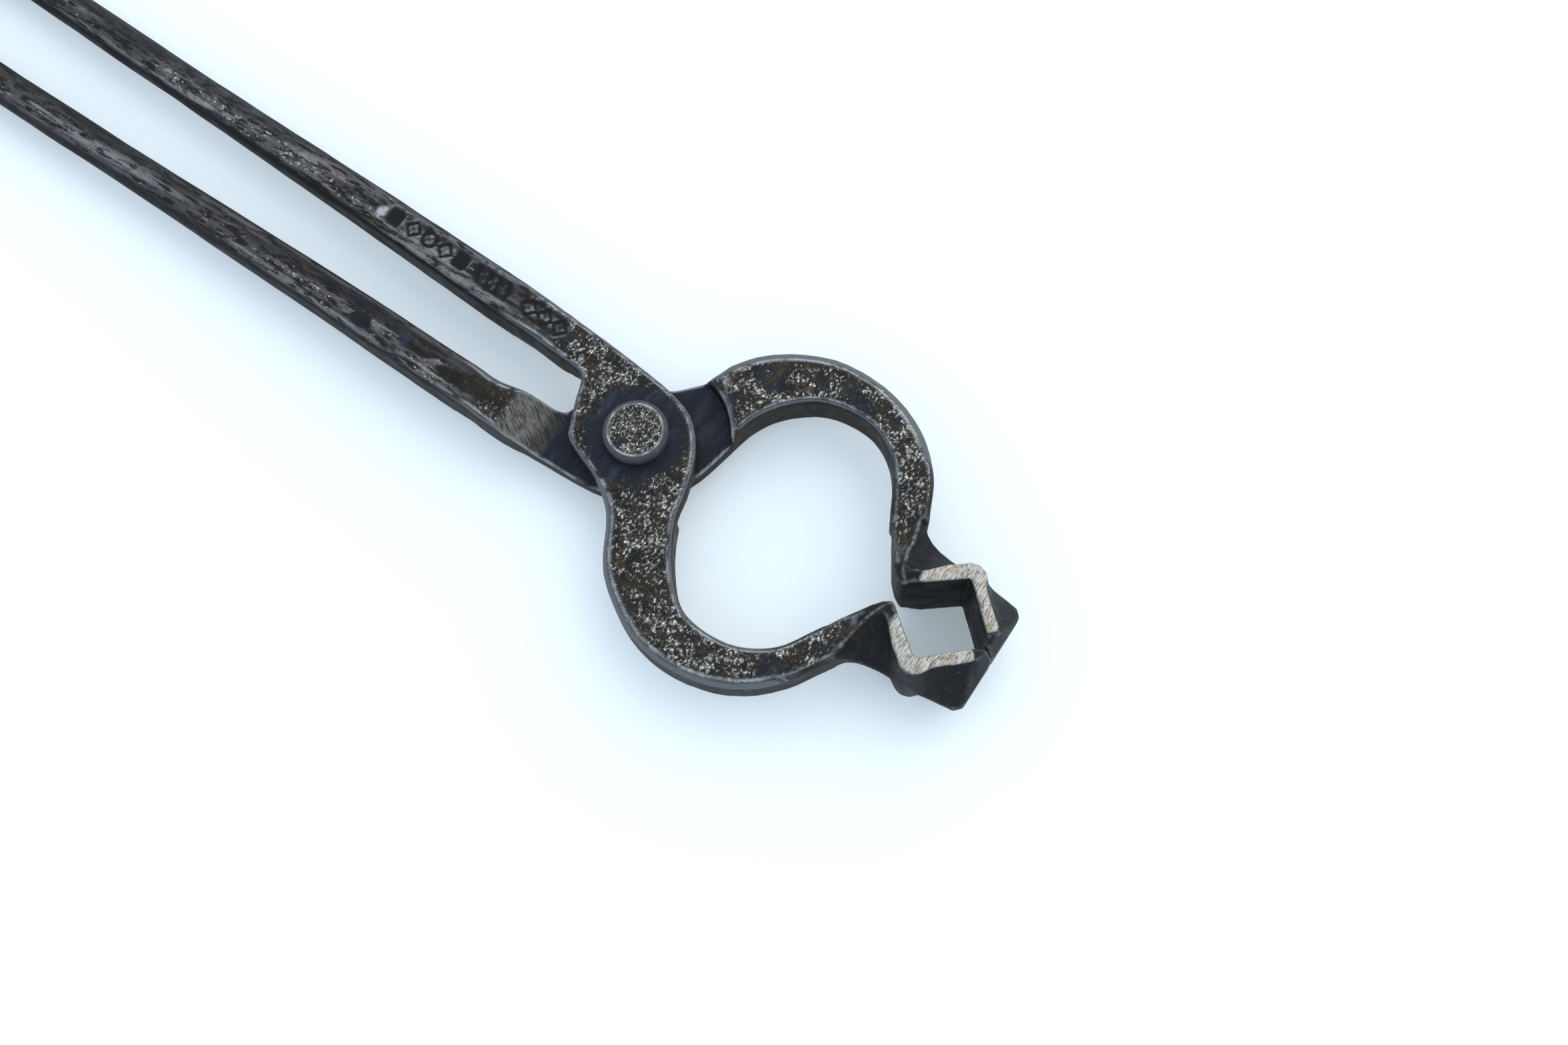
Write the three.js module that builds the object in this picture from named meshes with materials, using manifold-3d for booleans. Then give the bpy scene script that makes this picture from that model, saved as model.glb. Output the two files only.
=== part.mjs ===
// Blacksmith's bow tongs with V jaws for square or round bar.
//
// Three pieces, as the real tool has: two forged halves that cross at a flat
// boss, and the rivet that they turn on. Both halves are one forging. The
// stamped half is the plain half turned over about the tongs' long axis.
//
// Millimetres. +X runs along the tongs towards the jaws and +Z along the
// rivet. The origin is the centre of the lower rivet head's flat face. Each
// half is modelled in its own frame, with the mating plane of the bosses at
// z = 0, its boss below that plane, its jaw on the +Y side and its rein on
// the -Y side.

import * as THREE from 'three';
import { mergeVertices } from 'three/addons/utils/BufferGeometryUtils.js';
import Module from 'manifold-3d';

const wasm = await Module();
wasm.setup();

// ---- driving dimensions ----

const STOCK = 13;            // thickness of bow, boss pair and rein root
const GAP = 0.3;             // clearance between pieces
const EDGE = 1.5;            // rounding of the forged edges
const RIVET_R = 5;           // shank
const HEAD_R = 9;
const HEAD_FLAT_R = 7.3;
const HEAD_H = 4.2;
const HEAD_UNDERCUT = 0.3;   // bevel on the head's lower edge
const ROUND_STEPS = 32;      // sides of the rivet and its hole
const MATING_Z = STOCK / 2 + GAP + HEAD_H;

const REIN_END_X = -397;
const SHOULDER_R = 25.3;     // step from the recess up to the bow
const SHOULDER_STEPS = 72;
const RAMP_TOP_X = -33;      // ramp from the rein down to the recess
const RAMP_FOOT_X = -20.5;

const JAW_H = 28;            // height of the V walls
const WALL = 3.1;            // thickness of the V walls at their ends
const WALL_AT_CORNER = 4.2;
const RIM_CHAMFER = 0.15;    // on the inner edge of the ground rims
const RIM_LIP = 0.15;        // share of the wall that the chamfer takes
const V_REAR_ANGLE = THREE.MathUtils.degToRad(218);
const V_FRONT_ANGLE = THREE.MathUtils.degToRad(-43);
const BUMP_R = 4.4;          // outside of the V's corner
const TIP_X = 111.6;

const SLIVER = 1e-3;         // keeps a full round's corner points apart

const H = JAW_H / 2;
const T = STOCK / 2;

// ---- solids and geometry ----

function solid(geometry) {
  const bare = geometry.clone();
  bare.deleteAttribute('normal');
  bare.deleteAttribute('uv');
  const merged = mergeVertices(bare, 1e-4);
  const mesh = new wasm.Mesh({
    numProp: 3,
    vertProperties: new Float32Array(merged.attributes.position.array),
    triVerts: new Uint32Array(merged.index.array),
  });
  return new wasm.Manifold(mesh);
}

function geometryOf(manifold) {
  const mesh = manifold.getMesh();
  const indexed = new THREE.BufferGeometry();
  indexed.setAttribute('position', new THREE.BufferAttribute(mesh.vertProperties, 3));
  indexed.setIndex(new THREE.BufferAttribute(mesh.triVerts, 1));
  const geometry = indexed.toNonIndexed();
  geometry.computeVertexNormals();
  return geometry;
}

// A closed skin over sections with equal numbers of points, capped flat at
// both ends. Each section runs anticlockwise seen from the last section.
function loft(sections) {
  const count = sections[0].length;
  const positions = sections.flat().flatMap((p) => [p.x, p.y, p.z]);
  const index = [];
  const key = (i) => positions.slice(3 * i, 3 * i + 3).map((v) => v.toFixed(4)).join();
  const triangle = (a, b, c) => {
    if (key(a) !== key(b) && key(b) !== key(c) && key(c) !== key(a)) index.push(a, b, c);
  };
  for (let s = 0; s + 1 < sections.length; s++) {
    for (let k = 0; k < count; k++) {
      const next = (k + 1) % count;
      const a = s * count + k;
      const b = s * count + next;
      triangle(a, b, b + count);
      triangle(a, b + count, a + count);
    }
  }
  const last = (sections.length - 1) * count;
  for (let k = 1; k + 1 < count; k++) {
    triangle(0, k + 1, k);
    triangle(last, last + k, last + k + 1);
  }
  const geometry = new THREE.BufferGeometry();
  geometry.setAttribute('position', new THREE.Float32BufferAttribute(positions, 3));
  geometry.setIndex(index);
  return geometry;
}

// ---- what differs between the two hand-finished halves ----

const HALVES = {
  plain: {
    // Right-hand edge: rein root, boss, then the inside of the bow.
    right: [
      [-42, -19.4], [-34, -19.5], [-24, -18.5], [-12, -18.1], [-2, -17.2], [6, -14.8],
      [12, -10.6], [16, -5.2], [18.7, 0.6], [20.4, 7], [21.6, 13], [23.2, 20],
      [26.2, 26], [30.5, 31], [36, 35], [42, 36.8], [48, 37.2], [54, 35.9],
      [60, 32.2], [64.2, 27.2], [67.5, 21], [70, 16.4],
    ],
    // Left-hand edge: the outside of the bow, then boss and rein root.
    left: [
      [78.6, 22.2], [76.6, 26.4], [73.5, 32.8], [68.5, 39], [62.2, 43.9], [54.7, 47.3],
      [46.4, 49.1], [37.9, 49.2], [29.8, 47.5], [21.5, 43.4], [14.2, 37.8], [9.5, 31.5],
      [6.3, 26.2], [2.7, 22.1], [-1, 18.2], [-6, 15.2], [-10, 13], [-15.5, 10.5],
      [-17.5, 7], [-19.5, 2.5], [-21, -1], [-22.6, -3.8], [-26, -4.8], [-34, -5.4],
      [-42, -6.9],
    ],
    // Middle of the rein at some places along it.
    line: [[-30, -13], [-50, -12.8], [-100, -11.5], [-200, -10.2], [-397, -8]],
    corner: new THREE.Vector2(96.4, 12.6),
  },
  stamped: {
    right: [
      [-42, -20.2], [-25, -18.7], [-11, -17.3], [-1, -16], [7, -13.8], [12, -10.2],
      [16, -4.8], [18.6, 1], [20.4, 7], [21.8, 13], [24.6, 18.6], [28.5, 24.4],
      [33, 29.4], [37.5, 32.6], [42, 34], [48, 34.3], [54, 33.4], [60, 30.4],
      [64.5, 26.4], [68, 20.6], [70.6, 16.2],
    ],
    left: [
      [78.2, 21.6], [75.5, 26], [72, 31.8], [67, 38], [61, 42.6], [54, 45.8], [46, 47.6],
      [38, 47.7], [30, 46], [22, 42], [14.6, 36.4], [10.2, 30.4], [7.2, 25], [3.6, 20.4],
      [-1, 17], [-5, 14.8], [-10, 13], [-15.5, 10.5], [-17.5, 7], [-19.5, 2.5],
      [-21, -1], [-22, -4], [-23.5, -6.4], [-28, -7.3], [-42, -8],
    ],
    line: [[-30, -13.9], [-50, -14.5], [-100, -16.8], [-200, -20.8], [-397, -28.6]],
    corner: new THREE.Vector2(95.3, 12.75),
  },
};

// ---- boss and bow: one bevelled plate cut to a plan outline ----

function smooth(points, pieces) {
  const curve = new THREE.SplineCurve(points.map(([x, y]) => new THREE.Vector2(x, y)));
  return curve.getPoints(pieces);
}

function plate({ right, left }) {
  const outline = [...smooth(right, 2 * right.length), ...smooth(left, 2 * left.length)];
  const geometry = new THREE.ExtrudeGeometry(new THREE.Shape(outline), {
    depth: STOCK - 2 * EDGE,
    bevelThickness: EDGE,
    bevelSize: EDGE,
    bevelOffset: -EDGE,
    bevelSegments: 2,
  });
  geometry.translate(0, 0, EDGE - T);
  return solid(geometry);
}

// ---- rein: a bar that goes from flat-sided to round ----

// x along the bar, half width, half thickness, corner radius.
const REIN_SECTIONS = [
  [-36, 5.8, 6.3, 1.3], [-42, 6.1, 6.5, 1.6], [-60, 6.1, 6.5, 1.9], [-80, 6, 6.4, 2.3],
  [-100, 5.9, 6.3, 3], [-125, 5.8, 6.1, 4], [-150, 5.7, 5.8, 5], [-180, 5.55, 5.6, 5.5],
  [-220, 5.5, 5.5, 5.5], [-280, 5.4, 5.4, 5.4], [-340, 5.3, 5.3, 5.3],
  [-395.5, 5.2, 5.2, 5.2], [REIN_END_X, 4.2, 4.2, 4.2],
];

function lineAt(line, x) {
  const i = line.findIndex((point, k) => k > 0 && x >= point[0]);
  const [x0, y0] = line[i - 1];
  const [x1, y1] = line[i];
  return THREE.MathUtils.mapLinear(x, x0, x1, y0, y1);
}

function roundedSection(x, y, halfWidth, halfHeight, radius) {
  const points = [];
  const cornerSteps = 4;
  for (let quarter = 0; quarter < 4; quarter++) {
    const sideY = quarter === 0 || quarter === 3 ? 1 : -1;
    const sideZ = quarter < 2 ? 1 : -1;
    for (let step = 0; step <= cornerSteps; step++) {
      const angle = (quarter + step / cornerSteps) * Math.PI / 2;
      points.push(new THREE.Vector3(
        x,
        y + sideY * (halfWidth - radius) + radius * Math.cos(angle),
        sideZ * (halfHeight - radius) + radius * Math.sin(angle),
      ));
    }
  }
  return points.reverse();
}

function rein({ line }) {
  const sections = REIN_SECTIONS.map(([x, halfWidth, halfHeight, radius]) =>
    roundedSection(x, lineAt(line, x), halfWidth, halfHeight, radius - SLIVER));
  return solid(loft(sections));
}

// ---- jaw: V walls with a pyramid-shaped web behind each leg ----

function polar(origin, radius, angle) {
  return new THREE.Vector2(origin.x + radius * Math.cos(angle), origin.y + radius * Math.sin(angle));
}

// Points of a leg's inner and outer rim, a given way out from the V's corner.
function leg(corner, angle, outward, distance, wall) {
  const inner = polar(corner, distance, angle);
  return [inner, polar(inner, wall, angle + outward * Math.PI / 2)];
}

// Each station runs across the jaw: inner edge, outer rim, outer ridge, and
// the half heights there.
function jawStations(corner) {
  const v = (x, y) => new THREE.Vector2(x, y);
  const neck = [
    [v(68.8, 20.2), v(72.6, 27.2), v(74.2, 27.8), 6.3, 6.3, 4.6],
    [v(72.2, 14.2), v(75.6, 22.6), v(77.6, 22), 6.5, 6.5, 4.4],
    [v(75, 9.6), v(77.4, 17.6), v(79.8, 20), 6.7, 6.8, 2.6],
    [v(77.8, 5.6), v(78.6, 11.6), v(82.2, 18.9), 7.6, 7.8, 1.4],
    [v(80.3, 3.2), v(80, 7.9), v(85, 18.2), 9.4, 9.8, 1],
    [v(82.6, 2.5), v(81.8, 6.6), v(87, 17.9), 11.8, 12.2, 1],
    [v(84.5, 4), v(83.2, 7.2), v(88.6, 17.7), 13.4, 13.6, 1],
  ];
  const rear = [[11.6, 89.8, 17.6, WALL], [5.5, 91.6, 17.5, WALL_AT_CORNER]]
    .map(([distance, x, y, wall]) =>
      [...leg(corner, V_REAR_ANGLE, -1, distance, wall), v(x, y), H, H, 1]);
  const bump = [150, 121, 90, 59, 28].map((degrees) => {
    const rim = polar(corner, BUMP_R, THREE.MathUtils.degToRad(degrees));
    return [corner, rim, v(rim.x + 0.1, 17.5), H, H, 1];
  });
  const front = [
    [3.7, 101.8, 17, H, 1], [8.5, 106, 16.4, H, 1.2], [11.9, 109.8, 15.8, H, 1.6],
    [14.1, TIP_X, 13.8, H, 2], [15.7, TIP_X, 8, 13.2, 2.4],
  ].map(([distance, x, y, height, ridge]) =>
    [...leg(corner, V_FRONT_ANGLE, 1, distance, WALL), v(x, y), height, height, ridge]);
  const tip = [
    [v(107.8, 1), v(109.4, 2.6), v(TIP_X, 4), 11.8, 11.8, 3],
    [v(108.4, GAP / 2), v(109.8, GAP / 2), v(TIP_X, GAP / 2), 10, 9.4, 4],
  ];
  return [...neck, ...rear, ...bump, ...front, ...tip];
}

function jaw({ corner }) {
  const sections = jawStations(corner).map(([inner, rim, outer, innerH, rimH, outerH]) => {
    const lip = inner.clone().lerp(rim, RIM_LIP);
    const top = [
      [inner, innerH - RIM_CHAMFER], [lip, innerH], [rim, rimH], [outer, outerH],
    ].map(([p, z]) => new THREE.Vector3(p.x, p.y, z));
    const bottom = top.map((p) => new THREE.Vector3(p.x, p.y, -p.z)).reverse();
    return [...top, ...bottom].reverse();
  });
  return solid(loft(sections));
}

// ---- the two halves ----

// Everything above the mating plane between the ramp on the rein and the
// shoulder of the bow, which the other half's boss fills.
function recess() {
  const overlap = GAP / 2;
  const slope = T / (RAMP_FOOT_X - RAMP_TOP_X);
  const far = 40;
  const profile = new THREE.Shape();
  profile.moveTo(RAMP_FOOT_X, -overlap);
  profile.lineTo(far, -overlap);
  profile.lineTo(far, STOCK);
  profile.lineTo(RAMP_FOOT_X - (STOCK + overlap) / slope, STOCK);
  const slab = new THREE.ExtrudeGeometry(profile, { depth: 2 * far, bevelEnabled: false });
  slab.rotateX(Math.PI / 2);
  slab.translate(0, far, 0);
  const disc = new THREE.CylinderGeometry(SHOULDER_R, SHOULDER_R, 4 * STOCK, SHOULDER_STEPS);
  disc.rotateX(Math.PI / 2);
  const behind = new THREE.BoxGeometry(far, 2 * far, 4 * STOCK);
  behind.translate(-far / 2, 0, 0);
  return solid(slab).intersect(solid(disc).add(solid(behind)));
}

function rivetHole() {
  const radius = RIVET_R + GAP;
  const hole = new THREE.CylinderGeometry(radius, radius, 2 * STOCK, ROUND_STEPS);
  hole.rotateX(Math.PI / 2);
  return solid(hole);
}

function half(shape) {
  const forging = plate(shape).add(rein(shape)).add(jaw(shape));
  return geometryOf(forging.subtract(recess()).subtract(rivetHole()));
}

// ---- rivet ----

function rivet() {
  const side = HEAD_R - HEAD_FLAT_R;
  const head = [];
  const sideSteps = 4;
  for (let step = 0; step <= sideSteps; step++) {
    const angle = step / sideSteps * Math.PI / 2;
    head.push(new THREE.Vector2(HEAD_FLAT_R + side * Math.sin(angle), side * (1 - Math.cos(angle))));
  }
  head.push(new THREE.Vector2(HEAD_R - HEAD_UNDERCUT, HEAD_H), new THREE.Vector2(RIVET_R, HEAD_H));
  const length = 2 * MATING_Z;
  const upper = head.map((p) => new THREE.Vector2(p.x, length - p.y)).reverse();
  const axisEnds = [new THREE.Vector2(0, 0), new THREE.Vector2(0, length)];
  const profile = [axisEnds[0], ...head, ...upper, axisEnds[1]];
  const geometry = new THREE.LatheGeometry(profile, ROUND_STEPS);
  geometry.rotateX(Math.PI / 2);
  return geometryOf(solid(geometry));
}

// ---- the tongs ----

const scaleSteel = { roughness: 0.6, metalness: 0.7 };

const plainHalf = new THREE.Mesh(
  half(HALVES.plain),
  new THREE.MeshStandardMaterial({ color: 0x46484c, ...scaleSteel }),
);
plainHalf.name = 'plain_half';
plainHalf.position.z = MATING_Z;

const stampedHalf = new THREE.Mesh(
  half(HALVES.stamped),
  new THREE.MeshStandardMaterial({ color: 0x403f40, ...scaleSteel }),
);
stampedHalf.name = 'stamped_half';
stampedHalf.position.z = MATING_Z;
stampedHalf.rotation.x = Math.PI;

const rivetMesh = new THREE.Mesh(
  rivet(),
  new THREE.MeshStandardMaterial({ color: 0x6a6c70, roughness: 0.45, metalness: 0.85 }),
);
rivetMesh.name = 'rivet';

const tongs = new THREE.Group();
tongs.add(stampedHalf, plainHalf, rivetMesh);

export default tongs;
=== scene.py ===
"""Forged blacksmith's bow tongs: the looks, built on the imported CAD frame.

Each CAD piece is copied, remeshed finely and worked over as a smith and the
years would: smoothed, hammered, pitted, ground at the jaw rims and punched.
The same passes leave masks on the mesh (wear, flecks, blueing and so on) that
a procedural steel material turns into scale, bare metal and rust.

Lengths are millimetres in the passes and metres in Blender. A half is worked
in its own frame, with the mating plane at z = 0, its boss below that plane,
its jaw on the +Y side and its rein on the -Y side.
"""

import math

import bpy
import numpy as np
from mathutils import Matrix, Vector


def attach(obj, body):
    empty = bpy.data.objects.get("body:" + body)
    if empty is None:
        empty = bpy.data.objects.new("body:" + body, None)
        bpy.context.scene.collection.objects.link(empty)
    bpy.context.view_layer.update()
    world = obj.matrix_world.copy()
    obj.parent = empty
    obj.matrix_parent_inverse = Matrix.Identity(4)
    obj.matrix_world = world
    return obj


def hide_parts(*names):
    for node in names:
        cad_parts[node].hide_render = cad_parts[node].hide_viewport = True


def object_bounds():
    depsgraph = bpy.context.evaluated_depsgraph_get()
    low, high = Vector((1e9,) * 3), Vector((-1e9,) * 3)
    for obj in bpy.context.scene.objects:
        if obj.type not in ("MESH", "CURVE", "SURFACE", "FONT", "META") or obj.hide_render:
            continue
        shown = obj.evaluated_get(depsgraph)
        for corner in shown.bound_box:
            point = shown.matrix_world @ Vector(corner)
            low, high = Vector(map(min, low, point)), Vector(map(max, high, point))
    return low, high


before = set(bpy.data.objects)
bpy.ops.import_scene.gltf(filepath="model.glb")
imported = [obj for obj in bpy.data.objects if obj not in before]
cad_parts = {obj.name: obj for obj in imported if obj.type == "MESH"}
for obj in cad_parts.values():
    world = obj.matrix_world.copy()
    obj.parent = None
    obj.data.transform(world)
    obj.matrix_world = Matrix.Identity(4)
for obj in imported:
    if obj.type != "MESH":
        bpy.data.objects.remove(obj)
cad_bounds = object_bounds()

MM = 0.001

# ---- the tongs' sizes ----

MATING_Z = 11.0              # height of the plane where the halves meet
HALF_STOCK = 6.5             # half of the stock's thickness
HALF_JAW = 14.0              # half of the jaws' height
SHOULDER_R = 25.3            # radius of a shoulder's arc about the rivet
RAMP_TOP_X = -33.0
RAMP_FOOT_X = -20.5
RIVET_HOLE_R = 6.0
HEAD_FLAT_R = 7.3            # radius of the flat on a rivet head
BOW_MIDDLE = (46.0, 0.0)
SHOULDER_CORNER = (6.2, 24.8)
CORNER_REACH = 8.0           # how far around that corner the hammer rounded it
SHOULDER_DROP = 1.8          # how far the corner was hammered down
REIN_ROOT_X = -41.0
REIN_X = -60.0               # from here back a half is a plain rein
JAW_X = 80.0                 # from here on it is jaw
RIM_START_X = 84.6           # where the jaws' ground rims start

HALF_VOXEL = 0.56            # size of the fine mesh's cells
RIVET_VOXEL = 0.25

# ---- marks left by the smith, in a half's own frame ----

# crests where the bow turns into the jaw, in plan
JAW_CREST = [(75, 24), (77, 19), (78.3, 13), (78.8, 9), (80.5, 5.5), (83.5, 2)]
CREST_REACH = 1.7            # how far from a crest its mask reaches

PUNCH_LINE_Y = -15.6         # middle of the punch marks at PUNCH_MIDDLE_X
PUNCH_MIDDLE_X = -64.0
PUNCH_SLOPE = 0.045
PUNCH_DEPTH = 0.5
PUNCH_PATCHES = (-95.5, -71.6)
PUNCH_PATCH_SIZE = (2.7, 2.9)
PUNCH_FIELDS = ((-60.2, 7.4), (-41.9, 8.0))      # middle and half length
PUNCH_FIELD_WIDTH = 3.4
PUNCH_FIELD_DEPTH = 0.3
PUNCH_RINGS = (-83.0,)
PUNCH_RING_R = 2.1
PUNCH_DIAMONDS = (-88.8, -77.2, -47.0, -41.6, -36.2)
PUNCH_DIAMOND_R = 2.4
PUNCH_BARS = (-65.2, -61.8, -58.4, -55.0)
GLINT_SPOT = (-99.8, -16.4)       # a painted glint: a bare bright spot beside the first punch mark

# scabs of scale on the plain rein: middle in plan, half length and half width
PLAIN_SCABS = [(-84, -13.4, 3.6, 2.2), (-50, -13.4, 8, 2.2), (-66, -12.2, 6, 1.2)]
SCAB_HEIGHT = 0.25


# ---- noise on points ----

def lattice(cell, seed):
    """A repeatable number from 0 to 1 for each whole-numbered point."""
    x, y, z = (cell[..., k].astype(np.int64).astype(np.uint32) for k in range(3))
    with np.errstate(over="ignore"):
        n = x * np.uint32(0x8DA6B343) ^ y * np.uint32(0xD8163841) ^ z * np.uint32(0xCB1AB31F)
        n = n + np.uint32(seed * 0x9E3779B1 & 0xFFFFFFFF)
        for shift, factor in ((15, 0x2C1B3C6D), (12, 0x297A2D39)):
            n = (n ^ (n >> np.uint32(shift))) * np.uint32(factor)
        n ^= n >> np.uint32(15)
    return n / 2.0 ** 32


def noise(points, size, seed):
    """Smooth noise from -1 to 1 with features about as wide as size."""
    at = points / size
    base = np.floor(at)
    part = at - base
    part = part * part * (3 - 2 * part)
    total = np.zeros(len(points))
    for corner in np.ndindex(2, 2, 2):
        weight = np.prod(np.where(corner, part, 1 - part), axis=1)
        total += weight * lattice(base + corner, seed)
    return 2 * total - 1


def rough_noise(points, size, seed, octaves=3):
    total = sum(noise(points, size / 2 ** k, seed + k) / 2 ** k for k in range(octaves))
    return total / 1.6


def nearest_dot(points, size, seed):
    """Distance to the nearest of some scattered dots, as a share of size."""
    at = points / size
    base = np.floor(at)
    best = np.full(len(points), 9.0)
    for corner in np.ndindex(3, 3, 3):
        cell = base + corner - 1
        dot = cell + np.stack([lattice(cell, seed + k) for k in range(3)], axis=1)
        best = np.minimum(best, np.linalg.norm(dot - at, axis=1))
    return best


def ease(value, low, high):
    """0 below low, 1 above high and smooth between; low may be the larger."""
    share = np.clip((value - low) / (high - low), 0, 1)
    return share * share * (3 - 2 * share)


def bump_at(value, middle, width):
    """1 at middle, falling smoothly to 0 at width to either side."""
    return ease(np.abs(value - middle), width, 0)


def distance_to_line(plan, line):
    """Distance in plan from each point to a polyline."""
    best = np.full(len(plan), 1e9)
    for a, b in zip(np.array(line[:-1], float), np.array(line[1:], float)):
        along = np.clip((plan - a) @ (b - a) / ((b - a) @ (b - a)), 0, 1)
        best = np.minimum(best, np.linalg.norm(plan - a - along[:, None] * (b - a), axis=1))
    return best


# ---- a piece's fine mesh ----

class Skin:
    """A closed, evenly meshed copy of a CAD node, worked as arrays in its own frame.

    turn holds 1 or -1 for each axis, and origin is where the own frame sits.
    """

    def __init__(self, node, name, voxel, turn, origin):
        copy = bpy.data.objects.new(name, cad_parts[node].data.copy())
        bpy.context.scene.collection.objects.link(copy)
        remesh = copy.modifiers.new("remesh", "REMESH")
        remesh.mode = "VOXEL"
        remesh.voxel_size = voxel * MM
        remesh.use_smooth_shade = True
        graph = bpy.context.evaluated_depsgraph_get()
        mesh = bpy.data.meshes.new_from_object(copy.evaluated_get(graph))
        copy.modifiers.clear()
        copy.data = mesh
        mesh.materials.clear()
        self.object, self.mesh = copy, mesh
        self.turn, self.origin = np.array(turn, float), np.array(origin, float)
        self.count = len(mesh.vertices)
        place = self.read(mesh.vertices, "co") / MM
        self.points = (place - self.origin) * self.turn
        pairs = np.empty(2 * len(mesh.edges), int)
        mesh.edges.foreach_get("vertices", pairs)
        self.pairs = pairs.reshape(-1, 2)
        self.valence = np.bincount(pairs, minlength=self.count)

    def read(self, collection, name):
        flat = np.empty(3 * self.count)
        collection.foreach_get(name, flat)
        return flat.reshape(-1, 3)

    def around(self, values):
        """The mean of each point's neighbours."""
        if values.ndim > 1:
            return np.stack([self.around(column) for column in values.T], axis=1)
        a, b = self.pairs.T
        total = np.bincount(a, values[b], self.count) + np.bincount(b, values[a], self.count)
        return total / self.valence

    def smoothed(self, values, rounds):
        for _ in range(rounds):
            values = (values + self.around(values)) / 2
        return values

    def relax(self, rounds, share):
        """Rounds the edges, moving each point by its share of the way."""
        for _ in range(rounds):
            step = self.around(self.points) - self.points
            self.points = self.points + share[:, None] * step / 2

    def write(self):
        """Puts the points, kept inside the CAD box, into the mesh. Returns the normals."""
        place = self.points * self.turn + self.origin
        low, high = (np.array(corner) / MM for corner in cad_bounds)
        place = np.clip(place, low, high)
        self.mesh.vertices.foreach_set("co", (place * MM).ravel())
        self.mesh.update()
        return self.read(self.mesh.vertex_normals, "vector") * self.turn

    def press(self, depth, normals):
        self.points = self.points - depth[:, None] * normals

    def relief(self, normals, rounds):
        """How far each point stands out from its surroundings."""
        return ((self.points - self.smoothed(self.points, rounds)) * normals).sum(axis=1)

    def mask(self, name, values):
        layer = self.mesh.attributes.new(name, "FLOAT", "POINT")
        layer.data.foreach_set("value", np.clip(values, 0, 1).astype(np.float32))


# ---- forging a half ----

def punch_depth(plan):
    """Depth of the generic punch marks on a rein: patches, bars, rings and diamonds."""
    x, y = plan.T
    depth = np.zeros(len(x))
    cross = y - PUNCH_LINE_Y - PUNCH_SLOPE * (x - PUNCH_MIDDLE_X)

    def patch(at, half_length, half_width, deep):
        inside = (np.abs((x - at) / half_length) ** 4 + np.abs(cross / half_width) ** 4) ** 0.25
        return deep * ease(inside, 1.1, 0.75)

    def ring(at):
        return bump_at(np.hypot(x - at, cross), PUNCH_RING_R, 0.95)

    def diamond(at):
        return bump_at(np.abs(x - at) + np.abs(cross), PUNCH_DIAMOND_R, 1.15)

    def bar(at):
        return bump_at(x - at - 0.25 * cross, 0, 1.0) * ease(np.abs(cross), 3.2, 2.4)

    for at in PUNCH_PATCHES:
        depth = np.maximum(depth, patch(at, *PUNCH_PATCH_SIZE, PUNCH_DEPTH))
    for at, half_length in PUNCH_FIELDS:
        depth = np.maximum(depth, patch(at, half_length, PUNCH_FIELD_WIDTH, PUNCH_FIELD_DEPTH))
    marks = [ring(at) for at in PUNCH_RINGS]
    marks += [diamond(at) for at in PUNCH_DIAMONDS]
    marks += [bar(at) for at in PUNCH_BARS]
    return depth + PUNCH_DEPTH * np.max(marks, axis=0)


def across_rein(x, y):
    """Distance in y from the middle of the rein, found in slices along it."""
    slices = np.round(x - x.min()).astype(int)
    middle = np.bincount(slices, y) / np.maximum(np.bincount(slices), 1)
    return y - middle[slices]


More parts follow.
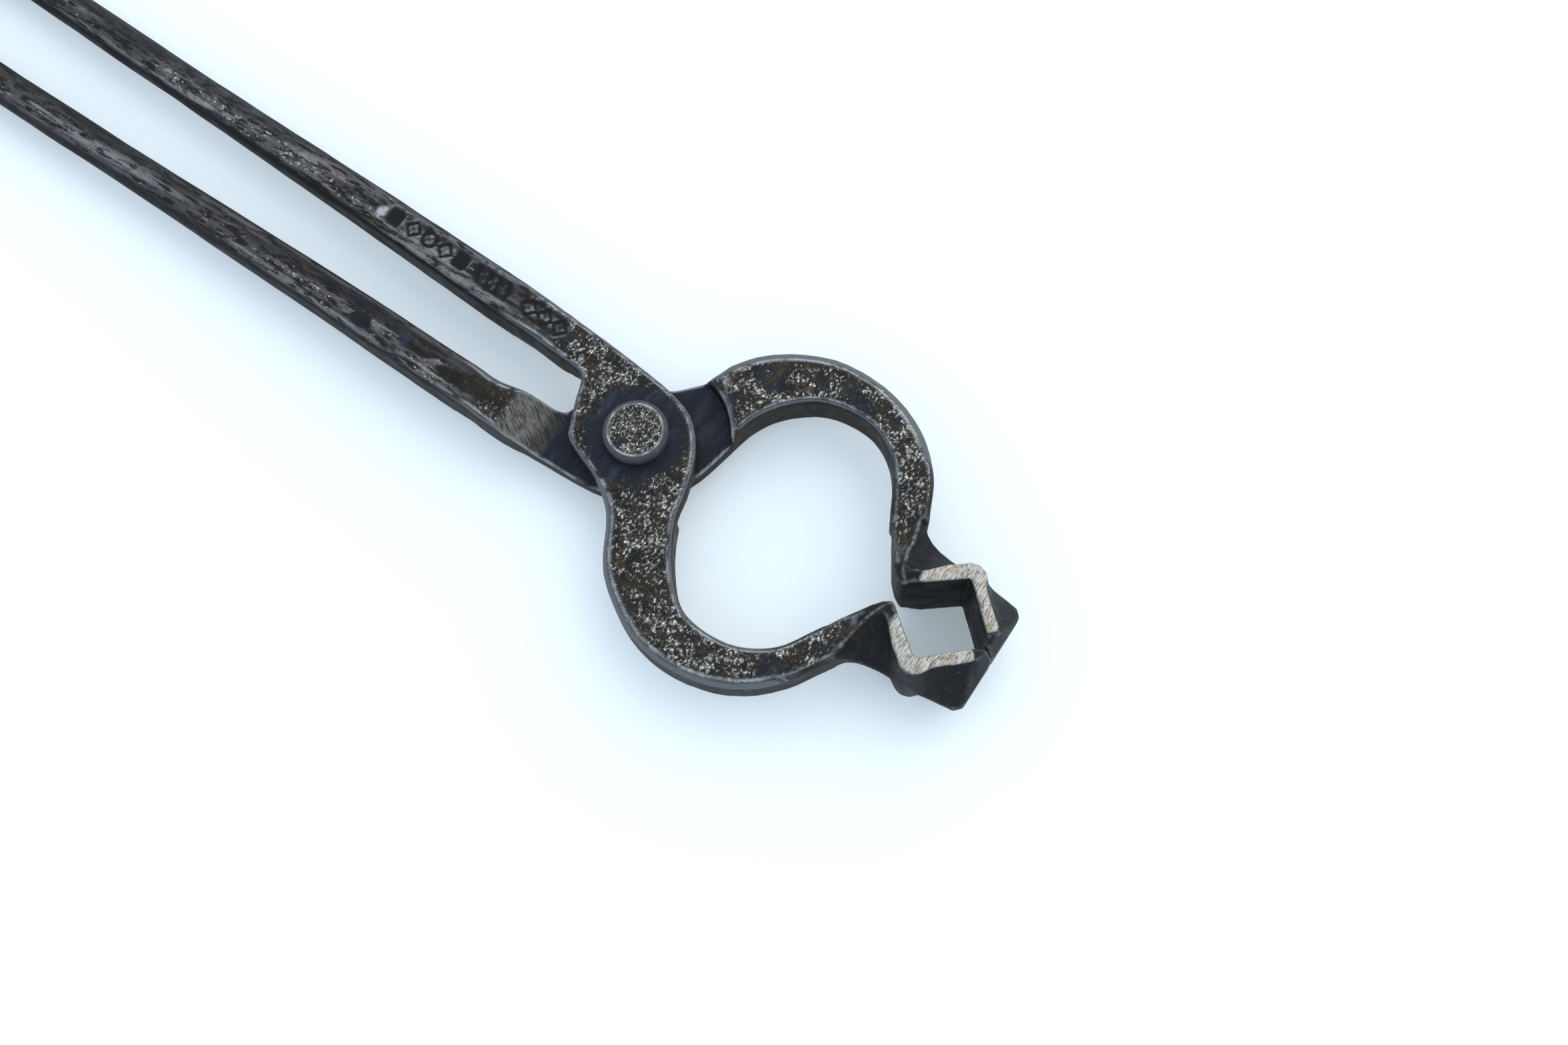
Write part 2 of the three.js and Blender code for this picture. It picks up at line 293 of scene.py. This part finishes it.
class Half(Skin):
    """One half of the tongs, and the smith's passes over it.

    x, y, z, plan and radius say where its points were before any work. The fields are
    shares from 0 to 1: jaw and rein; rim, the jaws' ground rims; mating, the face
    against the other half; ramp; broad, the upper and lower faces; clear, what the
    smith may move; beside, along the shoulder; corner, the shoulder's outer end.
    """

    def __init__(self, node, name, turn, seed):
        super().__init__(node, name, HALF_VOXEL, turn, (0, 0, MATING_Z))
        self.seed = seed
        self.x, self.y, self.z = self.points.T.copy()
        x, y, z = self.x, self.y, self.z
        self.plan = self.points[:, :2].copy()
        self.radius = np.hypot(x, y)
        rise = self.write()[:, 2]
        level = np.abs(rise)

        self.jaw = ease(x, JAW_X - 3, JAW_X + 4)
        self.rein = ease(x, REIN_X + 20, REIN_X)
        self.rim = self.jaw * ease(np.abs(z), HALF_JAW - 0.5, HALF_JAW - 0.25)
        self.rim *= ease(level, 0.5, 0.8) * ease(x, RIM_START_X, RIM_START_X + 1.4)
        self.mating = ease(np.abs(z), 0.8, 0.4) * ease(rise, 0.6, 0.9) * ease(np.abs(x), 34, 32)
        self.ramp = ease(x, RAMP_TOP_X - 2.5, RAMP_TOP_X) * ease(x, RAMP_FOOT_X + 0.5, RAMP_FOOT_X - 1)
        self.ramp *= ease(rise, 0.6, 0.8)
        self.broad = ease(level, 0.8, 0.96)
        hole = ease(self.radius, RIVET_HOLE_R + 1.5, RIVET_HOLE_R)
        self.clear = 1 - np.maximum(self.mating, hole)
        self.beside = bump_at(self.radius, SHOULDER_R, 3.5) * ease(x, 2, 8) * ease(z, -0.4, 0.8)
        from_corner = np.hypot(x - SHOULDER_CORNER[0], y - SHOULDER_CORNER[1])
        self.corner = bump_at(from_corner, 0, CORNER_REACH) * (z > 0.5)

    def soften(self):
        """Rounds the edges, but keeps the ground rims and the mating face crisp."""
        self.relax(4, self.clear * (1 - 0.75 * np.maximum(self.jaw, self.beside)))
        self.relax(1, self.clear * self.jaw)

    def roll_over(self, share):
        """Rounds the bow's outer edges, the shoulder's end and the rein's root more widely."""
        away = self.plan - np.array(BOW_MIDDLE)
        away /= np.linalg.norm(away, axis=1)[:, None]
        lean = (self.write()[:, :2] * away).sum(axis=1)
        on_bow = ease(self.x, 74, 66) * ease(self.x, -6, 0)
        self.roll = self.smoothed(np.maximum(lean, 0), 40) * on_bow * share
        outer = ease(self.roll, 0.12, 0.45) * ease(np.abs(self.z), 3, 5)
        self.points[:, 2] *= 1 - 0.13 * outer * self.clear
        self.relax(4, self.clear * ease(self.roll, 0.05, 0.2) * (1 - self.beside))
        self.points[:, 2] -= SHOULDER_DROP * self.clear * self.corner * ease(self.z, 0.5, 4)
        self.relax(60, self.clear * self.corner)
        self.relax(40, self.clear * bump_at(self.x, REIN_ROOT_X, 10))

    def trace_edges(self):
        """Finds the worn lips, and the sloped faces and rolled edges that are painted lighter as a
        highlight, while the edges are still clean.
        """
        x, z, radius = self.x, self.z, self.radius
        normals = self.write()
        steep = self.smoothed(np.abs(normals[:, 2]), 1)
        self.on_ramp = ease(x, RAMP_TOP_X - 1, RAMP_TOP_X) * ease(x, RAMP_FOOT_X + 1, RAMP_FOOT_X)
        self.on_ramp *= z > 0
        recess = ease(z, -2.6, -1.6) * ease(z, 2.2, 1.2)
        recess *= ease(radius, SHOULDER_R + 2, SHOULDER_R + 1)
        foot = ease(radius, SHOULDER_R + 4, SHOULDER_R + 3) * (x > 2)
        foot *= ease(z, -2.6, -1.6) * ease(z, 5.6, 4.8)
        shoulder = ease(self.beside, 0.2, 0.6)
        self.rolled = ease(self.roll, 0.25, 0.32)

        lip = bump_at(steep, 0.92, 0.07) * (1 - self.on_ramp) * (1 - recess)
        lip *= (1 - self.rolled) * (1 - 0.6 * shoulder)
        lip = np.maximum(lip, 0.7 * bump_at(self.roll, 0.22, 0.05))
        self.lip = lip * (1 - self.rein) * (1 - np.maximum(foot, recess)) * ease(np.abs(z), 4, 5)

        # painted highlight: sloped faces and the rolled outer edges get a lighter grey, as if lit
        bevel_highlight = bump_at(steep, 0.62, 0.3) * ease(x, 66, 58) * (1 - recess) * (1 - shoulder)
        bevel_highlight = np.maximum(bevel_highlight, 0.9 * self.rolled * (np.abs(z) > 4.5))
        self.bevel_highlight = bevel_highlight * (1 - self.rein) * (1 - foot) * (1 - self.mating)

        # the inside of the V faces the gap between the jaws, so its normal points to -Y
        self.inward = -normals[:, 1]

    def tear_shoulder(self):
        """Makes the shoulder ragged, only ever moving it away from the other half's boss."""
        self.beside *= ease(self.smoothed(self.broad, 22), 0.15, 0.5)
        ragged = 0.6 + 1.5 * rough_noise(self.points * [1, 1, 0.15], 3.6, self.seed + 5)
        outward = self.plan / np.maximum(self.radius, 1)[:, None]
        self.points[:, :2] += (self.beside * np.maximum(ragged, 0))[:, None] * outward

    def hammer(self):
        """Leaves broad swellings and hollows, and pits in the scale."""
        self.struck_normals = normals = self.write()
        forged = self.clear * (1 - np.maximum(self.rim, 0.75 * self.jaw)) * (1 - 0.7 * self.ramp)
        along = self.points * np.where(self.rein[:, None] > 0.5, [0.55, 1, 1], 1)
        swell = 0.2 * rough_noise(along, 11, self.seed, 2) + 0.06 * noise(along, 3.2, self.seed + 2)
        off_boss = ease(self.radius, 24, 30)
        self.press(forged * (0.35 + 0.65 * off_boss) * (swell + 0.05), normals)

        flecky = ease(noise(self.points, 9, self.seed + 9), -0.55, 0.15) * self.broad
        pit = ease(nearest_dot(self.points, 1.5, self.seed + 20), 0.62, 0.25)
        pit *= ease(noise(self.points, 3.5, self.seed + 21), -0.5, 0.2)
        heated = self.radius + 1.8 * rough_noise(self.points, 6, self.seed + 30)
        self.blued = ease(heated, 17, 11.5) * ease(-self.z, 1, 4)
        self.press(forged * flecky * (1 - self.blued) * 0.13 * pit, normals)

    def punch(self, punched):
        """Sinks the punch marks into the upper side of the rein, if it has any."""
        self.sunk = np.zeros(self.count)
        if punched:
            top = ease(-self.z, 4.5, 5.6) * ease(-self.struck_normals[:, 2], 0.6, 0.85)
            self.sunk = top * punch_depth(self.points[:, :2])
            self.points[:, 2] += self.sunk

    def raise_scabs(self, scabs):
        """Leaves smooth dark scabs of scale on a rein."""
        self.scab = np.zeros(self.count)
        ragged = 0.2 * noise(self.points, 2.5, self.seed + 70)
        for at_x, at_y, length, width in scabs:
            inside = np.hypot((self.x - at_x) / length, (self.y - at_y) / width) + ragged
            self.scab = np.maximum(self.scab, ease(inside, 1.15, 0.9) * ease(self.z, 3, 4))
        self.points[:, 2] -= SCAB_HEIGHT * self.scab

    def grind_rims(self):
        height = np.sign(self.points[:, 2]) * HALF_JAW
        self.points[:, 2] += ease(self.rim, 0.35, 0.7) * (height - self.points[:, 2])

    def wear(self, normals, breaks):
        """Bare metal on the edges that stand out."""
        crisp, gentle = self.relief(normals, 2), self.relief(normals, 8)
        wear = ease(gentle, 0.08, 0.2) * ease(breaks, -0.75, 0.1) * ease(crisp, 0.0, 0.02)
        lip = self.lip * ease(breaks, -0.6, 0.25) * (1 - self.jaw)
        wear = np.maximum(0.6 * wear, lip) * (0.4 + 0.6 * ease(self.x, 74, 62))
        kept = np.maximum(ease(self.corner, 0, 0.5), 0.75 * ease(self.beside, 0.2, 0.6))
        return wear * (1 - 0.75 * kept)

    def painted_glint(self, breaks):
        """A painted glint: one bare bright spot beside the punch marks."""
        off = np.hypot((self.x - GLINT_SPOT[0]) / 1.4, (self.y - GLINT_SPOT[1]) / 2.0)
        return ease(off + 1.1 * breaks, 1.2, 0.6) * (self.z < 0)

    def rubbed(self, up):
        """Crests rubbed grey where the bow turns into the jaw, and beside the ground rims."""
        wobble = np.stack([noise(self.points, 3, self.seed + k) for k in (43, 44)], axis=1)
        off_crest = distance_to_line(self.plan + 0.5 * wobble, JAW_CREST)
        crest = (1 - off_crest / CREST_REACH) * (up > 0.2) * (self.x > 60)
        halo = ease(self.smoothed(self.rim, 34), 0.02, 0.3)
        halo *= ease(up, 0.35, 0.7) * ease(self.x, 70, 80)
        return np.maximum(crest, 0.9 * halo) * (1 - self.rim)

    def fleck(self, bareness, sheen_handling, painted_shade):
        """How thickly the flecks of bare metal lie."""
        field = noise(self.points * [1, 1, 0.4], 10, self.seed + 50)
        fleck = self.broad * (1 - 0.8 * self.blued) * (1 - self.mating) * ease(self.x, 80, 72)
        fleck *= (1 - self.rein) * (1 - 0.8 * self.on_ramp)
        thick = np.maximum(ease(field, -0.45, 0.35), ease(self.x, 36, 50))
        fleck *= bareness + (1 - bareness) * thick
        fleck = np.maximum(fleck, sheen_handling)
        fleck = np.maximum(fleck, 0.22 * self.jaw * (1 - painted_shade) * (1 - self.rim))
        return fleck * (1 - ease(self.sunk, 0.1, 0.35)) * (1 - 0.8 * self.rolled) * (1 - self.scab)

    def finish(self, bareness, punched):
        """Writes the mesh, and the masks that the steel is coloured by."""
        normals = self.write()
        up = np.abs(normals[:, 2])
        breaks = rough_noise(self.points, 2.6, self.seed + 40)
        wear = self.wear(normals, breaks)
        # a painted glint beside the punch marks, written into the wear mask
        if punched:
            wear = np.maximum(wear, self.painted_glint(breaks))

        # a rein is rubbed grey on top along its side that faces -Y in the world; as it follows that
        # world direction rather than the rein, the grey band and its light streaks are also a painted
        # highlight
        smear = noise(self.points * [0.2, 1, 1], 4, self.seed + 65)
        side = self.turn[1] * across_rein(self.x, self.y) + 1.2 * smear
        handled_sheen = self.rein * ease(up, 0.5, 0.95) * (0.3 + 0.7 * ease(side, 2.5, -2.0))
        streak = ease(rough_noise(self.points * [0.1, 1, 1], 4.2, self.seed + 60), -0.15, 0.25)

        # painted shade: the inner walls of the V and the steep sides of the reins are darkened,
        # standing in for the shade that falls on them
        shade_in_jaws = self.jaw * ease(up, 0.3, 0.1) * ease(self.inward, 0.2, 0.5)
        painted_shade = np.maximum(shade_in_jaws, 0.55 * self.rein * ease(up, 0.75, 0.15))

        self.mask("wear", wear)
        self.mask("fleck", self.fleck(bareness, handled_sheen * (0.45 + 0.55 * streak), painted_shade))
        self.mask("blued", np.maximum(self.blued, 0.85 * self.mating))
        self.mask("bevel_highlight", self.bevel_highlight)
        self.mask("ground", ease(self.rim, 0.45, 0.75))
        self.mask("filed", self.ramp * (0.3 + 0.7 * ease(self.x, RAMP_FOOT_X - 2, RAMP_FOOT_X - 7)))
        self.mask("punch", ease(self.sunk, 0.12, 0.5))
        self.mask("rein", self.rein)
        unmarked = (1 - ease(self.sunk, 0.05, 0.3)) * (1 - self.scab)
        self.mask("handled_sheen", handled_sheen * (0.5 + 0.5 * streak) * unmarked)
        self.mask("jaw", self.jaw)
        self.mask("rubbed", self.rubbed(up))
        self.mask("painted_shade", painted_shade)


def forge(node, name, turn, seed, bareness, roll_share, scabs=(), punched=False):
    """Works one half over.

    bareness is the least share of flecks and roll_share how far its bow's edge is rolled over.
    """
    half = Half(node, name, turn, seed)
    half.soften()
    half.roll_over(roll_share)
    half.trace_edges()
    half.tear_shoulder()
    half.hammer()
    half.punch(punched)
    half.raise_scabs(scabs)
    half.grind_rims()
    half.finish(bareness, punched)
    return half.object


# ---- the rivet ----

def peen(node, name, seed):
    """The rivet with both heads hammered, pitted on the flat and worn bright around it."""
    skin = Skin(node, name, RIVET_VOXEL, (1, 1, 1), (0, 0, MATING_Z))
    x, y, z = skin.points.T.copy()
    radius = np.hypot(x, y)
    outside = ease(np.abs(z), HALF_STOCK + 0.2, HALF_STOCK + 0.8)
    skin.relax(10, outside)
    normals = skin.write()
    flat = ease(radius, HEAD_FLAT_R + 0.4, HEAD_FLAT_R - 0.5) * outside
    flat *= ease(np.abs(normals[:, 2]), 0.7, 0.9)
    swell = 0.12 * rough_noise(skin.points, 5, seed, 2)
    pit = ease(nearest_dot(skin.points, 1.15, seed + 3), 0.6, 0.2)
    skin.press(outside * (swell + 0.08) + flat * (0.1 + 0.22 * pit), normals)

    gentle = skin.relief(skin.write(), 12)
    breaks = rough_noise(skin.points, 2.2, seed + 7)
    ring = bump_at(radius, HEAD_FLAT_R + 0.1, 0.5) * outside * (0.3 + 0.7 * ease(breaks, -0.5, 0.3))
    skin.mask("wear", np.maximum(ring, 0.5 * ease(gentle, 0.05, 0.12)))
    skin.mask("fleck", 0.95 * flat)
    # painted highlight: the sides of the rivet heads get a lighter grey
    skin.mask("bevel_highlight", 0.4 * outside * (1 - flat))
    for unused in ("blued", "ground", "filed", "punch", "rein", "handled_sheen", "jaw", "rubbed", "painted_shade"):
        skin.mask(unused, np.zeros(skin.count))
    return skin.object


# ---- materials ----

def colour(*levels):
    """A linear colour from display levels of 0 to 255."""
    channels = [level / 255 for level in levels]
    linear = [c / 12.92 if c <= 0.04045 else ((c + 0.055) / 1.055) ** 2.4 for c in channels]
    return (*linear, 1)


class Steel:
    """A node tree on one Principled shader, with short calls for what it needs."""

    def __init__(self, name):
        self.material = bpy.data.materials.new(name)
        self.material.use_nodes = True
        self.tree = self.material.node_tree
        self.shader = self.tree.nodes["Principled BSDF"]
        self.place = self.node("ShaderNodeTexCoord").outputs["Object"]

    def node(self, kind, inputs=(), **settings):
        made = self.tree.nodes.new(kind)
        for key, value in settings.items():
            setattr(made, key, value)
        for key, value in dict(inputs).items():
            self.feed(made.inputs[key], value)
        return made

    def feed(self, socket, value):
        if isinstance(value, bpy.types.NodeSocket):
            self.tree.links.new(value, socket)
        else:
            socket.default_value = value

    def mask(self, name):
        return self.node("ShaderNodeAttribute", attribute_name=name).outputs["Fac"]

    def maths(self, operation, *values):
        return self.node("ShaderNodeMath", enumerate(values), operation=operation).outputs[0]

    def minus(self, a, b):
        return self.maths("SUBTRACT", a, b)

    def most(self, a, b):
        return self.maths("MAXIMUM", a, b)

    def times(self, *values):
        result = values[0]
        for value in values[1:]:
            result = self.maths("MULTIPLY", result, value)
        return result

    def ease(self, value, low, high, to_low=0.0, to_high=1.0):
        made = self.node("ShaderNodeMapRange", interpolation_type="SMOOTHSTEP")
        for socket, number in zip(made.inputs, (value, low, high, to_low, to_high)):
            self.feed(socket, number)
        return made.outputs[0]

    def blend(self, share, a, b):
        made = self.node("ShaderNodeMix", data_type="RGBA")
        for key, value in ((0, share), (6, a), (7, b)):
            self.feed(made.inputs[key], value)
        return made.outputs[2]

    def level(self, share, a, b):
        made = self.node("ShaderNodeMix", data_type="FLOAT")
        for key, value in ((0, share), (2, a), (3, b)):
            self.feed(made.inputs[key], value)
        return made.outputs[0]

    def noise(self, size, detail=3.0, stretch=(1, 1, 1), rough=0.55, shift=0.0, turn=0.0):
        """Noise from 0 to 1 with features about size millimetres wide."""
        at = self.place
        if turn:
            at = self.node("ShaderNodeVectorRotate", {"Vector": at, "Angle": turn}).outputs[0]
        at = self.node(
            "ShaderNodeMapping", {"Vector": at, "Scale": stretch, "Location": (shift, shift, shift)}
        ).outputs[0]
        inputs = {"Vector": at, "Scale": 1 / (size * MM), "Detail": detail, "Roughness": rough}
        return self.node("ShaderNodeTexNoise", inputs).outputs[0]


SCALE_BROWN = colour(40, 35, 28)
SCALE_BLACK = colour(24, 23, 23)
WORN_SCALE = colour(68, 64, 58)
BLUE_BLACK = colour(26, 30, 41)
BLUE_SHEEN = colour(46, 54, 66)
# jaw black, partly painted shade
JAW_BLACK_AND_SHADE = colour(18, 20, 24)
# near-black for painted shade
SHADE_BLACK = colour(3, 3, 3)
RUBBED = colour(104, 103, 101)
FILED = colour(120, 116, 110)
# the next two are the reins' rubbed grey and its light streaks, partly painted highlight
HANDLED_SHEEN = colour(92, 88, 87)
SHINE_HIGHLIGHT = colour(168, 162, 161)
RUST = colour(80, 64, 40)
BARE = colour(132, 128, 122)
BRIGHT = colour(236, 232, 226)
EDGE_LIGHT = colour(170, 171, 173)
# grey for the painted highlight on sloped faces
BEVEL_HIGHLIGHT = colour(106, 108, 110)
GROUND_LIGHT = colour(192, 188, 180)
GROUND_DARK = colour(92, 80, 66)
GROUND_RUST = colour(172, 146, 104)

RAMP_FILING = math.radians(32)   # slant of the file marks on the ramps


def forge_scale(s, cloud, blue):
    """Forge scale, brown to black, with bluer and rustier areas; blacker on the jaw, partly as painted
    shade, with painted shade in the V and on the reins' steep sides and a painted highlight on the
    sloped faces.
    """
    jaw, bevel_highlight, rubbed, painted_shade = (s.mask(m) for m in ("jaw", "bevel_highlight", "rubbed", "painted_shade"))
    off_rein = s.minus(1.0, s.times(s.mask("rein"), 0.75))
    scale = s.blend(s.times(s.ease(cloud, 0.4, 0.6), off_rein), SCALE_BLACK, SCALE_BROWN)
    sheen = s.ease(s.noise(4, 5, stretch=(1, 0.3, 1), rough=0.65, shift=0.35), 0.48, 0.7)
    scale = s.blend(s.times(blue, 0.9), scale, s.blend(sheen, BLUE_BLACK, BLUE_SHEEN))
    rust = s.times(s.ease(s.noise(3, 6, rough=0.7, shift=0.7), 0.5, 0.72), 0.7, off_rein)
    rust = s.times(rust, s.minus(1.0, s.most(s.mask("blued"), s.times(painted_shade, 0.8))))
    scale = s.blend(rust, scale, RUST)
    # the jaw's scale is blacker, and darkened further as painted shade on its side-facing webs
    scale = s.blend(s.times(jaw, 0.72), scale, JAW_BLACK_AND_SHADE)
    # painted shade: near-black in the V and on the reins' steep sides
    scale = s.blend(painted_shade, scale, SHADE_BLACK)
    # painted highlight: a lighter grey on the sloped faces
    scale = s.blend(s.times(bevel_highlight, 0.85), scale, BEVEL_HIGHLIGHT)
    crest_break = s.ease(s.noise(1.6, 5, rough=0.7, shift=0.8), 0.4, 0.56, 0.12, 1.0)
    scale = s.blend(s.times(s.ease(rubbed, 0.62, 0.95), crest_break), scale, RUBBED)
    return s.blend(s.times(s.mask("punch"), 0.85), scale, SCALE_BLACK)


def rub_and_light_reins(s, face):
    """Reins rubbed grey by the hands, with the scale left in long pits; the rubbed band and its light
    streaks are also a painted highlight.
    """
    handled_sheen = s.mask("handled_sheen")
    smear = s.noise(1.3, 5, stretch=(0.22, 1, 1), rough=0.64, shift=0.25)
    face = s.blend(s.times(handled_sheen, s.ease(smear, 0.43, 0.56)), face, HANDLED_SHEEN)
    band = s.noise(3, 4, stretch=(0.05, 1, 1), rough=0.6, shift=0.45)
    # painted highlight: long light streaks along the rubbed band
    painted_shine = s.times(handled_sheen, s.ease(band, 0.48, 0.62), s.ease(smear, 0.4, 0.52), 0.85)
    return s.blend(painted_shine, face, SHINE_HIGHLIGHT)


def fleck_metal(s, face, blue_patch, grain_size, least_gate):
    """Flecks of bare metal, drawn out along the reins. Returns the face and where it is bare."""
    fleck = s.mask("fleck")
    round_grain = s.noise(grain_size, 5, stretch=(1, 0.7, 1), rough=0.68)
    long_grain = s.noise(grain_size, 5, stretch=(0.45, 1, 1), rough=0.68, shift=0.2)
    grain = s.level(s.mask("rein"), round_grain, long_grain)
    gate = s.ease(s.noise(4.5, 5, shift=0.5), 0.36, 0.56, least_gate, 1.0)
    gate = s.times(gate, s.level(blue_patch, 1.0, 0.35))
    above = s.minus(grain, s.minus(0.697, s.times(fleck, gate, 0.2)))
    present = s.ease(fleck, 0.03, 0.3)
    face = s.blend(s.times(s.ease(above, -0.09, 0.02), present, 0.8), face, WORN_SCALE)
    bare = s.times(s.ease(above, 0.0, 0.06), present)
    sparkle = s.ease(s.noise(0.5, 3, shift=0.9), 0.5, 0.66)
    return s.blend(bare, face, s.blend(sparkle, BARE, BRIGHT)), bare


def grind_and_file(s, face, lines):
    """The ground jaw rims and the filed ramps, with lines across the tongs."""
    filed = s.noise(0.3, 3, stretch=(0.012, 1, 0.3), turn=RAMP_FILING, rough=0.6)
    tint = s.ease(s.noise(0.6, 4, stretch=(1, 0.12, 1), shift=0.6), 0.48, 0.66)
    light = s.blend(s.times(tint, 0.75), GROUND_LIGHT, GROUND_RUST)
    bright_face = s.blend(s.ease(lines, 0.4, 0.54), GROUND_DARK, light)
    face = s.blend(s.mask("ground"), face, bright_face)
    return s.blend(s.times(s.mask("filed"), s.ease(filed, 0.34, 0.62), 0.85), face, FILED)


def steel_material(name, grain_size=0.75, least_gate=0.4):
    """Forged steel; grain_size is the flecks' and least_gate how many there are where few are."""
    s = Steel(name)
    ground = s.mask("ground")
    cloud = s.noise(6, 5)
    blue_patch = s.ease(s.noise(12, 3, shift=0.3), 0.55, 0.66)
    blue = s.most(s.times(blue_patch, 0.7), s.mask("blued"))
    face = rub_and_light_reins(s, forge_scale(s, cloud, blue))
    face, bare = fleck_metal(s, face, blue_patch, grain_size, least_gate)
    scratch = s.ease(s.noise(1.0, 5, shift=0.4), 0.2, 0.5, 0.25, 1.0)
    worn = s.times(s.mask("wear"), scratch)
    face = s.blend(worn, face, EDGE_LIGHT)
    lines = s.noise(0.2, 4, stretch=(1, 0.11, 0.3), rough=0.75, shift=0.1)
    s.feed(s.shader.inputs["Base Color"], grind_and_file(s, face, lines))

    metal = s.most(s.most(bare, worn), s.times(ground, 0.6))
    s.feed(s.shader.inputs["Metallic"], s.times(metal, 0.85))
    dull = s.level(blue, s.level(s.ease(cloud, 0.3, 0.7), 0.5, 0.64), 0.42)
    s.feed(s.shader.inputs["Roughness"], s.level(metal, dull, 0.42))
    s.feed(s.shader.inputs["Specular IOR Level"], 0.12)

    # fine relief: grain of the scale, raised flecks and grinding lines
    height = s.maths("ADD", s.times(s.noise(0.6, 5, rough=0.7), 0.6), s.times(bare, 0.5))
    height = s.level(ground, height, lines)
    bump = s.node("ShaderNodeBump", {"Strength": 0.7, "Distance": 0.12 * MM, "Height": height})
    s.feed(s.shader.inputs["Normal"], bump.outputs[0])
    return s.material


# ---- the pieces ----

MATERIALS = {
    "forged_steel": steel_material("forged_steel"),
    "rivet_steel": steel_material("rivet_steel", grain_size=0.6, least_gate=0.8),
}


def add_piece(piece, body, node, finish):
    """Lets a piece ride on its body in place of the CAD node."""
    piece.data.materials.append(MATERIALS[finish])
    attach(piece, body)
    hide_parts(node)


stamped = forge(
    "stamped_half", "stamped_forging", turn=(1, -1, -1), seed=11,
    bareness=0.75, roll_share=0.68, punched=True,
)
plain = forge(
    "plain_half", "plain_forging", turn=(1, 1, 1), seed=47,
    bareness=0.45, roll_share=1, scabs=PLAIN_SCABS,
)
rivet = peen("rivet", "rivet_peened", seed=83)
add_piece(stamped, "stamped", "stamped_half", "forged_steel")
add_piece(plain, "plain", "plain_half", "forged_steel")
add_piece(rivet, "stamped", "rivet", "rivet_steel")

# ---- floor, light and camera ----

FLOOR_FRONT = (96 * MM, -3 * MM)        # x and z where the jaws' rims touch it
FLOOR_BACK = (-395.5 * MM, 5.8 * MM)    # and where the rein ends do
FLOOR_HALF = 6.0
KEY_PLACE = (0.4, 2.0, 1.95)
CAMERA_PLACE = (0.12686, -0.10153, 0.41744)
CAMERA_LOOK = Vector((-0.19051, 0.24391, -0.95090))
CAMERA_UP = Vector((-0.51877, 0.79733, 0.30845))


def floor():
    """A pale floor that the closed tongs lie on."""
    slope = (FLOOR_BACK[1] - FLOOR_FRONT[1]) / (FLOOR_BACK[0] - FLOOR_FRONT[0])
    corners = [(FLOOR_HALF * i, FLOOR_HALF * j) for i, j in ((-1, -1), (1, -1), (1, 1), (-1, 1))]
    mesh = bpy.data.meshes.new("floor")
    mesh.from_pydata(
        [(x, y, FLOOR_FRONT[1] + slope * (x - FLOOR_FRONT[0])) for x, y in corners], [], [(0, 1, 2, 3)]
    )
    made = bpy.data.objects.new("floor", mesh)
    bpy.context.scene.collection.objects.link(made)
    material = bpy.data.materials.new("pale_floor")
    material.use_nodes = True
    shader = material.node_tree.nodes["Principled BSDF"]
    shader.inputs["Base Color"].default_value = (0.72, 0.745, 0.76, 1)
    shader.inputs["Roughness"].default_value = 0.9
    shader.inputs["Specular IOR Level"].default_value = 0.1
    shader.inputs["Emission Color"].default_value = (0.84, 0.95, 1.0, 1)
    shader.inputs["Emission Strength"].default_value = 0.25
    mesh.materials.append(material)


def key_light():
    """A big soft lamp behind the tongs, aimed at the rivet."""
    light = bpy.data.lights.new("key", "AREA")
    light.shape = "SQUARE"
    light.size = 3.6
    light.energy = 46
    light.color = (1.0, 0.94, 0.84)
    made = bpy.data.objects.new("key", light)
    made.location = KEY_PLACE
    made.rotation_euler = (-Vector(KEY_PLACE)).to_track_quat("-Z", "Y").to_euler()
    bpy.context.scene.collection.objects.link(made)


def studio():
    """Cool soft light from all around."""
    world = bpy.data.worlds.new("studio")
    world.use_nodes = True
    backdrop = world.node_tree.nodes["Background"]
    backdrop.inputs["Color"].default_value = (0.72, 0.85, 1.0, 1)
    backdrop.inputs["Strength"].default_value = 1.2
    bpy.context.scene.world = world


def camera():
    """A hand-held camera over the jaws, looking down and a little towards the reins."""
    data = bpy.data.cameras.new("camera")
    data.sensor_width = 36.0
    data.lens = 36.73
    data.clip_start = 0.01
    made = bpy.data.objects.new("camera", data)
    turn = Matrix((CAMERA_LOOK.cross(CAMERA_UP), CAMERA_UP, -CAMERA_LOOK)).transposed()
    made.matrix_world = Matrix.Translation(CAMERA_PLACE) @ turn.to_4x4()
    bpy.context.scene.collection.objects.link(made)
    bpy.context.scene.camera = made


floor()
key_light()
studio()
camera()
bpy.context.scene.view_settings.view_transform = "Standard"
